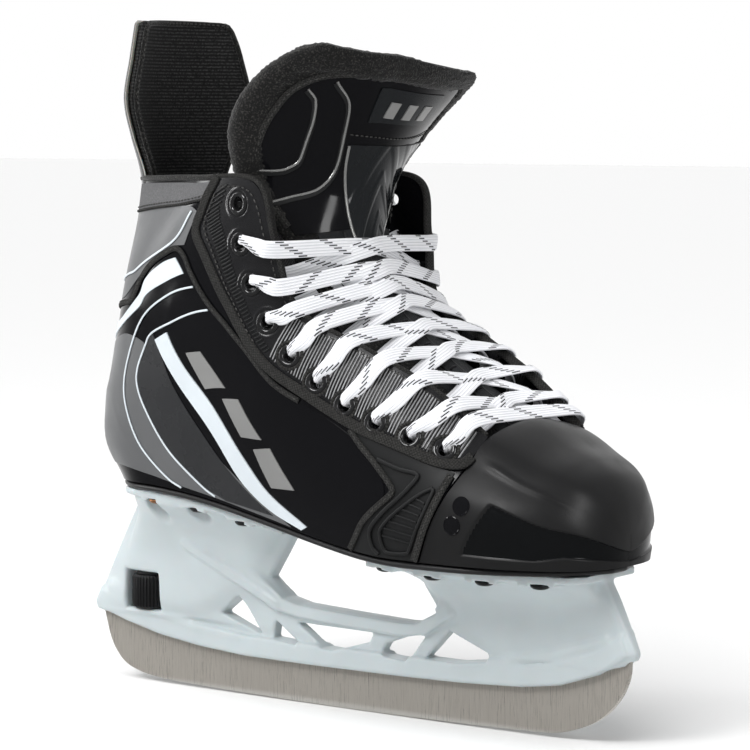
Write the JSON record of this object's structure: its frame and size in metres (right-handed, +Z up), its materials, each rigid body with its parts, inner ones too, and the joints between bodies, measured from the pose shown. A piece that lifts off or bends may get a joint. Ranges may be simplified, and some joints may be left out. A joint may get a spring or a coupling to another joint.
{
  "type": "ice hockey skate",
  "caption": "Single laced ice hockey skate for a right foot: stiff boot with felt tongue and tendon guard, open-truss blade holder and removable steel runner.",
  "frame": {"origin": "lowest point of the runner's edge, halfway along it and on its middle plane", "axes": "+X to the toe along the runner, +Y to the medial side of this right skate, +Z up out of the boot"},
  "size_m": [0.288, 0.1151, 0.3005],
  "materials": {
    "sole_composite": "satin",
    "board": "matte",
    "footbed_foam": "matte",
    "gloss_shell": "gloss",
    "facing": "satin",
    "liner": "matte",
    "liner_knit": "matte",
    "toe_cap": "satin",
    "felt": "matte",
    "trim_plastic": "gloss",
    "guard_plastic": "satin",
    "lace": "matte",
    "holder": "satin",
    "steel": "brushed",
    "black_metal": "satin",
    "dial": "matte",
    "eyelet": "gloss",
    "rivet": "satin",
    "copper": "satin"
  },
  "bodies": {
    "boot": {"outsole": "sole_composite", "insole_board": "board", "footbed": "footbed_foam", "quarter_lateral": "gloss_shell", "quarter_medial": "gloss_shell", "facing_lateral": "facing", "facing_medial": "facing", "ankle_pad_lateral": "liner", "ankle_pad_medial": "liner", "toe_cap": "toe_cap", "tongue_lower": "felt", "lace": "lace", "holder": "holder", "lock_washer": "black_metal", "eyelet_lateral_01": "eyelet", "eyelet_lateral_02": "eyelet", "eyelet_lateral_03": "eyelet", "eyelet_lateral_04": "eyelet", "eyelet_lateral_05": "eyelet", "eyelet_lateral_06": "eyelet", "eyelet_lateral_07": "eyelet", "eyelet_lateral_08": "eyelet", "eyelet_lateral_09": "eyelet", "eyelet_lateral_10": "eyelet", "eyelet_medial_01": "eyelet", "eyelet_medial_02": "eyelet", "eyelet_medial_03": "eyelet", "eyelet_medial_04": "eyelet", "eyelet_medial_05": "eyelet", "eyelet_medial_06": "eyelet", "eyelet_medial_07": "eyelet", "eyelet_medial_08": "eyelet", "eyelet_medial_09": "eyelet", "eyelet_medial_10": "eyelet", "rivet_lateral_1": "copper", "rivet_lateral_2": "rivet", "rivet_lateral_3": "rivet", "rivet_lateral_4": "rivet", "rivet_lateral_5": "rivet", "rivet_lateral_6": "rivet", "rivet_lateral_7": "rivet", "rivet_medial_1": "copper", "rivet_medial_2": "rivet", "rivet_medial_3": "rivet", "rivet_medial_4": "rivet", "rivet_medial_5": "rivet", "rivet_medial_6": "rivet", "rivet_medial_7": "rivet"},
    "tongue_top": {"tongue_upper": "felt", "tongue_shield": "trim_plastic"},
    "guard": {"tendon_guard": "guard_plastic", "tendon_guard_liner": "liner_knit"},
    "lock": {"lock_dial": "dial"},
    "runner": {"runner": "steel", "runner_stud": "black_metal"}
  },
  "joints": [
    {"name": "tongue_flop", "type": "hinge", "parent": "boot", "child": "tongue_top", "pos_m": [0.0085, 0, 0.219], "axis": [0, 1, 0], "range_deg": [0, 70]},
    {"name": "guard_flex", "type": "hinge", "parent": "boot", "child": "guard", "pos_m": [-0.114, 0, 0.232], "axis": [0, -1, 0], "range_deg": [0, 30], "stiffness_Nm_per_rad": 2},
    {"name": "lock_turn", "type": "hinge", "parent": "boot", "child": "lock", "pos_m": [-0.1143, 0, 0.042], "axis": [0, 0, 1], "continuous": true},
    {"name": "runner_release", "type": "slide", "parent": "boot", "child": "runner", "axis": [0, 0, -1], "range_m": [0, 0.045]}
  ]
}
